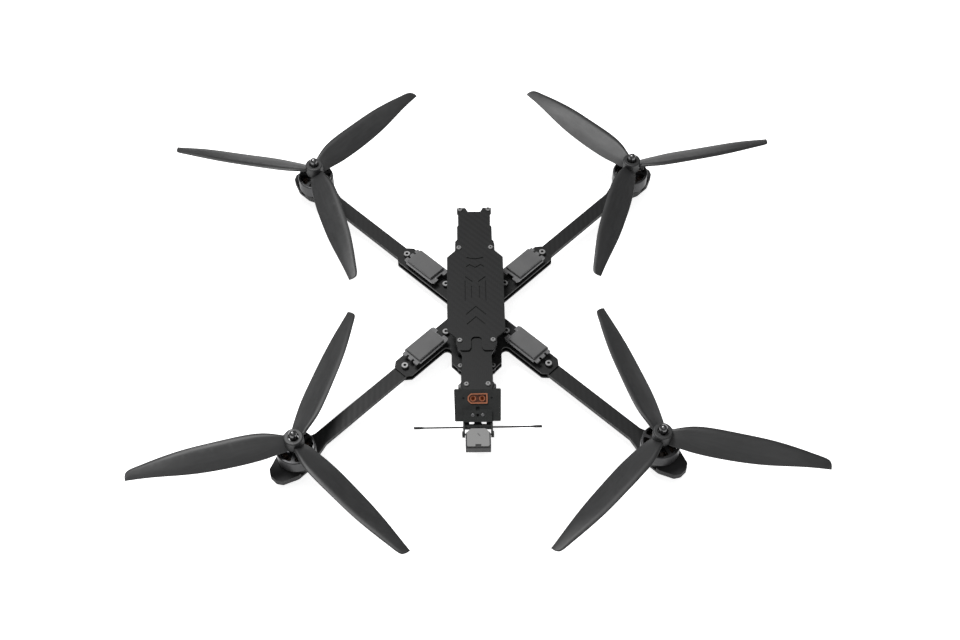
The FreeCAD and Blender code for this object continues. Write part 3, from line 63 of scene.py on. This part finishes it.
def softbox(name, place, size, power):
    lamp = bpy.data.lights.new(name, "AREA")
    lamp.shape = "RECTANGLE"
    lamp.size, lamp.size_y = size
    lamp.energy = power
    holder = bpy.data.objects.new(name, lamp)
    holder.location = place
    holder.rotation_euler = (LIGHTS_AIM - Vector(place)).to_track_quat("-Z", "Y").to_euler()
    bpy.context.scene.collection.objects.link(holder)


def make_studio():
    scene = bpy.context.scene
    scene.view_settings.view_transform = "Standard"
    world = bpy.data.worlds.new("studio")
    scene.world = world
    world.use_nodes = True
    world.node_tree.nodes["Background"].inputs["Color"].default_value = (1, 1, 1, 1)
    world.node_tree.nodes["Background"].inputs["Strength"].default_value = WORLD_STRENGTH
    softbox("key_light", (-0.7, 0.65, 2.3), (1.0, 0.9), 54)
    softbox("front_light", (0.1, -1.0, 2.4), (1.8, 1.4), 8)
    mesh = bpy.data.meshes.new("floor")
    corners = [(x * FLOOR_REACH, y * FLOOR_REACH, 0) for x, y in ((-1, -1), (1, -1), (1, 1), (-1, 1))]
    mesh.from_pydata(corners, [], [(0, 1, 2, 3)])
    floor = bpy.data.objects.new("floor", mesh)
    scene.collection.objects.link(floor)
    paint = Graph("floor_paper")
    grain = paint.noise(6.0, 2)
    paint.feed("Base Color", paint.ramp(grain, (0.3, (0.93, 0.93, 0.93)), (0.7, (0.95, 0.95, 0.95))))
    paint.set(Roughness=0.9, Specular_IOR_Level=0.1, Emission_Color=(1, 1, 1, 1), Emission_Strength=0.8)
    mesh.materials.append(paint.material)


# ---------------------------------------------------------------- materials


class Graph:
    """Short calls for the nodes of one material; colours and sizes are in metres and linear light."""

    def __init__(self, name):
        self.material = bpy.data.materials.new(name)
        self.material.use_nodes = True
        self.tree = self.material.node_tree
        self.shader = self.tree.nodes["Principled BSDF"]
        self.point = self.node("ShaderNodeTexCoord").outputs["Object"]

    def node(self, kind, **settings):
        made = self.tree.nodes.new(kind)
        for key, value in settings.items():
            setattr(made, key, value)
        return made

    def join(self, socket, value):
        if isinstance(value, bpy.types.NodeSocket):
            self.tree.links.new(value, socket)
        else:
            socket.default_value = value

    def set(self, **values):
        """Constants on the shader's own sockets; an underscore stands for a space in a name."""
        for key, value in values.items():
            self.shader.inputs[key.replace("_", " ")].default_value = value

    def feed(self, name, value):
        self.join(self.shader.inputs[name], value)

    def math(self, operation, *values):
        made = self.node("ShaderNodeMath", operation=operation)
        for socket, value in zip(made.inputs, values):
            self.join(socket, value)
        return made.outputs[0]

    def axes(self, vector=None):
        split = self.node("ShaderNodeSeparateXYZ")
        self.join(split.inputs[0], vector or self.point)
        return list(split.outputs)

    def vector(self, x, y, z):
        made = self.node("ShaderNodeCombineXYZ")
        for socket, value in zip(made.inputs, (x, y, z)):
            self.join(socket, value)
        return made.outputs[0]

    def normal(self):
        return self.axes(self.node("ShaderNodeNewGeometry").outputs["Normal"])

    def noise(self, scale, detail=3, place=None):
        made = self.node("ShaderNodeTexNoise")
        self.join(made.inputs["Vector"], place or self.point)
        made.inputs["Scale"].default_value = scale
        made.inputs["Detail"].default_value = detail
        made.inputs["Roughness"].default_value = 0.55
        return made.outputs[0]

    def speckle(self, scale):
        made = self.node("ShaderNodeTexVoronoi", feature="F1")
        self.join(made.inputs["Vector"], self.point)
        made.inputs["Scale"].default_value = scale
        return made.outputs["Distance"]

    def ramp(self, value, *stops):
        made = self.node("ShaderNodeValToRGB")
        elements = made.color_ramp.elements
        for index, (position, colour) in enumerate(stops):
            element = elements[index] if index < 2 else elements.new(position)
            element.position = position
            element.color = (*colour, 1)
        self.join(made.inputs[0], value)
        return made.outputs[0]

    def blend(self, share, first, second):
        made = self.node("ShaderNodeMix", data_type="RGBA")
        self.join(made.inputs[0], share)
        for socket, colour in ((made.inputs[6], first), (made.inputs[7], second)):
            self.join(socket, colour if isinstance(colour, bpy.types.NodeSocket) else (*colour, 1))
        return made.outputs[2]

    def between(self, share, low, high):
        """low where share is 0, high where it is 1."""
        return self.math("ADD", self.math("MULTIPLY", share, high - low), low)

    def bump(self, height, depth, strength=1.0):
        made = self.node("ShaderNodeBump")
        made.inputs["Strength"].default_value = strength
        made.inputs["Distance"].default_value = depth
        self.join(made.inputs["Height"], height)
        self.feed("Normal", made.outputs[0])

    def from_motor_axis(self):
        """(radius, angle, height) about the nearest motor's axis."""
        x, y, z = self.axes()
        u = self.math("SUBTRACT", self.math("ABSOLUTE", x), MOTOR_OFFSET)
        v = self.math("SUBTRACT", self.math("ABSOLUTE", y), MOTOR_OFFSET)
        radius = self.math("SQRT", self.math("ADD", self.math("MULTIPLY", u, u), self.math("MULTIPLY", v, v)))
        return radius, self.math("ARCTAN2", v, u), z


def carbon(name, turn_degrees=0.0, groove_heights=None, painted_shade_lightness=1.0):
    """Twill-woven laminate: 2 mm tows on the flat faces, thin plies along the cut edges."""
    # Every grey is scaled by the given factor; below 1 it paints shade over the whole piece.
    def grey(level):
        return tuple(level * painted_shade_lightness * tint for tint in (1.0, 1.015, 1.03))

    graph = Graph(name)
    tow = 2.0 * MM
    turned = graph.node("ShaderNodeVectorRotate", rotation_type="Z_AXIS")
    graph.join(turned.inputs["Vector"], graph.point)
    turned.inputs["Angle"].default_value = math.radians(turn_degrees)
    x, y, z = graph.axes(turned.outputs[0])
    across, along = graph.math("DIVIDE", x, tow), graph.math("DIVIDE", y, tow)
    step = graph.math("ADD", graph.math("FLOOR", across), graph.math("FLOOR", along))
    over = graph.math("LESS_THAN", graph.math("FLOORED_MODULO", step, 4.0), 2.0)
    crowns = [graph.math("ABSOLUTE", graph.math("SINE", graph.math("MULTIPLY", axis, math.pi)))
              for axis in (across, along)]
    height = graph.math("ADD", graph.math("MULTIPLY", over, graph.math("SUBTRACT", crowns[0], crowns[1])),
                        crowns[1])
    face = graph.math("GREATER_THAN", graph.math("ABSOLUTE", graph.normal()[2]), 0.7)
    cloud = graph.noise(90.0, 4)
    weave = graph.blend(over, grey(0.0110), grey(0.0135))
    worn = graph.blend(graph.between(cloud, 0.0, 0.45), weave, grey(0.0190))
    plies = graph.math("FLOORED_MODULO", graph.math("DIVIDE", z, 0.25 * MM), 1.0)
    edge = graph.ramp(plies, (0.35, grey(0.006)), (0.55, grey(0.013)))
    colour = graph.blend(face, edge, worn)
    if groove_heights:
        cut = graph.math("MULTIPLY", graph.math("GREATER_THAN", z, groove_heights[0]),
                         graph.math("LESS_THAN", z, groove_heights[1]))
        colour = graph.blend(cut, colour, grey(0.0035))
    graph.feed("Base Color", colour)
    graph.feed("Roughness", graph.between(graph.math("MULTIPLY", cloud, over), 0.42, 0.58))
    graph.set(Specular_IOR_Level=0.2)
    graph.bump(graph.math("MULTIPLY", height, face), 0.06 * MM, 0.35)
    return graph.material


def shade(colour, share):
    return tuple(channel * share for channel in colour)


def printed(name, colour):
    """Soft printed plastic with fine layers."""
    graph = Graph(name)
    layer = 0.25 * MM
    z = graph.axes()[2]
    ridges = graph.math("ABSOLUTE", graph.math("SINE", graph.math("MULTIPLY", z, math.pi / layer)))
    cloud = graph.noise(160.0, 4)
    graph.feed("Base Color", graph.ramp(cloud, (0.3, shade(colour, 0.75)), (0.7, colour)))
    graph.feed("Roughness", graph.between(cloud, 0.55, 0.8))
    graph.set(Specular_IOR_Level=0.25)
    graph.bump(graph.math("ADD", ridges, graph.math("MULTIPLY", cloud, 0.6)), 0.08 * MM, 0.5)
    return graph.material


def moulded(name, colour, roughness, specular=0.4, grain=900.0):
    """Injection-moulded plastic with a spark-eroded grain."""
    graph = Graph(name)
    cloud = graph.noise(45.0, 3)
    graph.feed("Base Color", graph.ramp(cloud, (0.3, shade(colour, 0.82)), (0.7, colour)))
    graph.feed("Roughness", graph.between(graph.noise(grain, 2), roughness - 0.08, roughness + 0.08))
    graph.set(Specular_IOR_Level=specular)
    graph.bump(graph.noise(grain, 2), 0.04 * MM, 0.25)
    return graph.material


def metal(name, colour, roughness):
    """Machined or blasted metal with handling marks."""
    graph = Graph(name)
    fine = graph.noise(700.0, 3)
    smear = graph.noise(60.0, 4)
    graph.feed("Base Color", graph.ramp(smear, (0.3, shade(colour, 0.8)), (0.75, colour)))
    graph.feed("Roughness", graph.between(smear, roughness - 0.08, roughness + 0.12))
    graph.set(Metallic=1.0)
    graph.bump(fine, 0.02 * MM, 0.3)
    return graph.material


def screw_steel(name, colour, shaded_floors):
    """Zinc-plated screws, with painted shade on their steep side faces and on the socket bottoms within the
    (low, high) heights given.
    """
    graph = Graph(name)
    z = graph.axes()[2]
    smear = graph.noise(300.0, 3)
    # Painted shade: steep faces, and socket bottoms within the given heights, take a near-black colour in
    # place of the steel.
    unshaded_share = graph.math("GREATER_THAN", graph.math("ABSOLUTE", graph.normal()[2]), 0.3)
    for low, high in shaded_floors:
        socket_shade = graph.math("MULTIPLY", graph.math("GREATER_THAN", z, low), graph.math("LESS_THAN", z, high))
        unshaded_share = graph.math("SUBTRACT", unshaded_share, graph.math("MULTIPLY", socket_shade, 0.85))
    lit = graph.ramp(smear, (0.3, shade(colour, 0.82)), (0.7, colour))
    graph.feed("Base Color", graph.blend(graph.math("MAXIMUM", unshaded_share, 0.0), (0.035, 0.035, 0.036), lit))
    graph.feed("Roughness", graph.between(smear, 0.42, 0.58))
    graph.set(Metallic=0.55)
    graph.bump(graph.noise(900.0, 2), 0.02 * MM, 0.3)
    return graph.material


def turned_metal(name, colour, roughness, metallic=1.0):
    """Anodised metal with the fine rings that turning about the motor axis leaves."""
    graph = Graph(name)
    radius, angle, z = graph.from_motor_axis()
    rings = graph.noise(1.0, 2, graph.vector(graph.math("MULTIPLY", radius, 9000.0),
                                             graph.math("MULTIPLY", angle, 1.2),
                                             graph.math("MULTIPLY", z, 9000.0)))
    smear = graph.noise(80.0, 3)
    graph.feed("Base Color", graph.ramp(smear, (0.3, shade(colour, 0.7)), (0.7, colour)))
    graph.feed("Roughness", graph.between(rings, roughness - 0.07, roughness + 0.1))
    graph.set(Metallic=metallic)
    graph.bump(rings, 0.015 * MM, 0.3)
    return graph.material


def propeller_plastic(name):
    """Glass-filled nylon: satin, with faint flow lines outwards from the hub."""
    graph = Graph(name)
    radius, angle, z = graph.from_motor_axis()
    flow = graph.noise(1.0, 4, graph.vector(graph.math("MULTIPLY", radius, 60.0),
                                            graph.math("MULTIPLY", angle, 26.0),
                                            graph.math("MULTIPLY", z, 300.0)))
    fine = graph.noise(1500.0, 2)
    graph.feed("Base Color", graph.ramp(flow, (0.3, (0.0145, 0.0147, 0.0152)),
                                        (0.7, (0.0215, 0.0218, 0.0224))))
    graph.feed("Roughness", graph.between(flow, 0.42, 0.54))
    graph.set(Specular_IOR_Level=0.5)
    graph.bump(graph.math("ADD", flow, graph.math("MULTIPLY", fine, 0.5)), 0.05 * MM, 0.2)
    return graph.material


def wound_wire(name):
    """Coils of dark enamelled wire, with a painted copper-tinted highlight on the crown of each turn."""
    graph = Graph(name)
    radius = graph.from_motor_axis()[0]
    wire = 0.55 * MM
    wire_crowns_and_highlight = graph.math("ABSOLUTE", graph.math("SINE", graph.math("MULTIPLY", radius, math.pi / wire)))
    # Painted highlight: each wire's crown is coloured lighter and copper-tinted in place of a real
    # reflection.
    graph.feed("Base Color", graph.ramp(wire_crowns_and_highlight, (0.1, (0.006, 0.005, 0.005)), (0.9, (0.040, 0.022, 0.014))))
    graph.feed("Roughness", graph.between(graph.noise(400.0, 2), 0.2, 0.36))
    graph.set(Specular_IOR_Level=0.6)
    graph.bump(wire_crowns_and_highlight, 0.2 * MM, 0.8)
    return graph.material


def stacked_steel(name):
    """Lacquered stator laminations, 0.2 mm each."""
    graph = Graph(name)
    z = graph.axes()[2]
    sheets = graph.math("ABSOLUTE", graph.math("SINE", graph.math("MULTIPLY", z, math.pi / (0.2 * MM))))
    graph.feed("Base Color", graph.ramp(graph.noise(300.0, 3), (0.3, (0.02, 0.02, 0.022)),
                                        (0.7, (0.05, 0.05, 0.055))))
    graph.feed("Roughness", graph.between(sheets, 0.35, 0.6))
    graph.set(Metallic=0.6)
    graph.bump(sheets, 0.05 * MM, 0.6)
    return graph.material


def board(name, mask):
    """Solder mask over copper tracks, with tinned pads where the pattern opens."""
    graph = Graph(name)
    tracks = graph.speckle(420.0)
    blotch = graph.noise(260.0, 2)
    lit = tuple(channel * 1.9 + 0.004 for channel in mask)
    graph.feed("Base Color", graph.ramp(tracks, (0.12, lit), (0.3, mask)))
    graph.feed("Roughness", graph.between(blotch, 0.32, 0.5))
    graph.set(Specular_IOR_Level=0.45)
    graph.bump(tracks, 0.05 * MM, 0.3)
    return graph.material


def patch_ceramic(name):
    """Silvered face of the patch aerial, with the smear of solder over its feed pin."""
    graph = Graph(name)
    low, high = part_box("gps_patch")
    pin = (low + high) / 2 + Vector((0.7, 3.1, 0)) * MM
    smear_half_length, smear_half_width = 2.4 * MM, 0.7 * MM
    x, y, _ = graph.axes()
    dx, dy = graph.math("SUBTRACT", x, pin.x), graph.math("SUBTRACT", y, pin.y)
    slope = math.radians(-54)
    along = graph.math("ADD", graph.math("MULTIPLY", dx, math.cos(slope)),
                       graph.math("MULTIPLY", dy, math.sin(slope)))
    across = graph.math("SUBTRACT", graph.math("MULTIPLY", dy, math.cos(slope)),
                        graph.math("MULTIPLY", dx, math.sin(slope)))
    spread = graph.math("ADD", graph.math("POWER", graph.math("DIVIDE", along, smear_half_length), 2.0),
                        graph.math("POWER", graph.math("DIVIDE", across, smear_half_width), 2.0))
    grain = graph.noise(1400.0, 3)
    silver = graph.ramp(grain, (0.3, (0.20, 0.20, 0.198)), (0.7, (0.25, 0.25, 0.248)))
    graph.feed("Base Color", graph.blend(graph.math("LESS_THAN", spread, 1.0), silver, (0.11, 0.11, 0.11)))
    graph.feed("Roughness", graph.between(grain, 0.42, 0.58))
    graph.set(Specular_IOR_Level=0.4)
    graph.bump(grain, 0.04 * MM, 0.25)
    return graph.material


def lens_glass(name):
    """Coated front element over a dark barrel."""
    graph = Graph(name)
    graph.feed("Base Color", graph.ramp(graph.noise(120.0, 2), (0.3, (0.003, 0.003, 0.006)),
                                        (0.7, (0.006, 0.005, 0.012))))
    graph.feed("Roughness", graph.between(graph.noise(60.0, 2), 0.03, 0.08))
    graph.set(Coat_Weight=1.0, Coat_Roughness=0.03)
    return graph.material


# ---------------------------------------------------------------- every piece gets its material


def dress(node_names, material):
    for name in node_names:
        for slot in NODES[name].material_slots:
            slot.material = material


def per_corner(stem):
    return [f"{stem}_{corner}" for corner in CORNERS]


make_camera()
make_studio()

# Heights between which the engraving's floor lies, and those of the screws' socket bottoms above their seats,
# where shade is painted in.
GROOVES = (PLATE_TOP - 0.9 * MM, PLATE_TOP - 0.4 * MM)
SEATS = [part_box(name)[1].z for name in ("top_plate", "tail_plate", "arm_clamp_plate")]
BUTTON_SOCKET_SHADE = [(seat + 0.5 * MM, seat + 0.7 * MM) for seat in SEATS]
CAP_SOCKET_SHADE = (SEATS[2] + 1.2 * MM, SEATS[2] + 3.4 * MM)

dress(["top_plate"], carbon("engraved_carbon", groove_heights=GROOVES))
dress(["arm_clamp_plate", "tail_plate", "camera_side_plates"], carbon("plate_carbon"))
# The bottom plate takes the same laminate at half brightness: painted shade that keeps the sliver of its top
# face between the plates dark.
dress(["bottom_plate"], carbon("bottom_carbon_painted_shade", painted_shade_lightness=0.5))
dress(per_corner("arm"), carbon("arm_carbon", 45.0))
dress(["landing_feet"], printed("foot_print", (0.030, 0.030, 0.031)))
dress(["rear_mount"], printed("mount_print", (0.026, 0.0275, 0.027)))
dress(["standoffs", "plate_spacers"], metal("black_anodised", (0.03, 0.03, 0.033), 0.4))
dress(["top_screws", "plate_screws"], screw_steel("button_steel", (0.29, 0.29, 0.29), BUTTON_SOCKET_SHADE))
dress(["arm_bolts"], screw_steel("cap_steel", (0.30, 0.30, 0.30), [CAP_SOCKET_SHADE]))
dress(["motor_screws", "camera_screws"], screw_steel("black_steel", (0.05, 0.05, 0.052), []))
dress(["rear_screws"], screw_steel("pan_steel", (0.21, 0.21, 0.215), []))
dress(["arm_nuts"], metal("zinc_nut", (0.42, 0.42, 0.44), 0.35))
dress(["esc_boards"], board("controller_board", (0.118, 0.118, 0.120)))
dress(["esc_heatsinks"], moulded("spreader_grey", (0.122, 0.122, 0.123), 0.6, 0.3, 1800.0))
dress(["motor_bases"], turned_metal("motor_base_black", (0.02, 0.02, 0.022), 0.4))
dress(per_corner("rotor_bell"), turned_metal("bell_grey", (0.055, 0.055, 0.057), 0.4, 0.8))
dress(per_corner("rotor_magnets"), metal("magnet_nickel", (0.45, 0.45, 0.44), 0.25))
dress(per_corner("motor_shaft") + ["motor_bearings"], turned_metal("shaft_steel", (0.5, 0.5, 0.52), 0.2))
dress(per_corner("propeller"), propeller_plastic("propeller_nylon"))
dress(per_corner("prop_nut"), turned_metal("nut_black_nickel", (0.17, 0.17, 0.172), 0.27))
dress(["stator_cores"], stacked_steel("stator_sheets"))
dress(["stator_windings"], wound_wire("enamelled_wire"))
dress(["battery_connector"], moulded("connector_nylon", (0.41, 0.15, 0.078), 0.35))
dress(["connector_pins"], metal("dull_contact", (0.30, 0.085, 0.035), 0.45))
dress(["gps_bracket", "gps_module"], moulded("receiver_case", (0.014, 0.014, 0.015), 0.5))
dress(["gps_patch"], patch_ceramic("patch_ceramic"))
dress(["dipole_antenna"], moulded("aerial_sleeve", (0.016, 0.016, 0.017), 0.5))
dress(["camera_body"], moulded("camera_black", (0.014, 0.014, 0.015), 0.4))
dress(["camera_lens"], lens_glass("lens_coated"))
dress(["power_board", "flight_controller", "receiver"], board("stack_board", (0.008, 0.012, 0.02)))
dress(["stack_posts"], moulded("grommet_rubber", (0.02, 0.02, 0.021), 0.6))
dress(["video_transmitter"], metal("transmitter_case", (0.06, 0.06, 0.065), 0.4))
dress(["capacitor"], moulded("capacitor_sleeve", (0.012, 0.014, 0.03), 0.3))
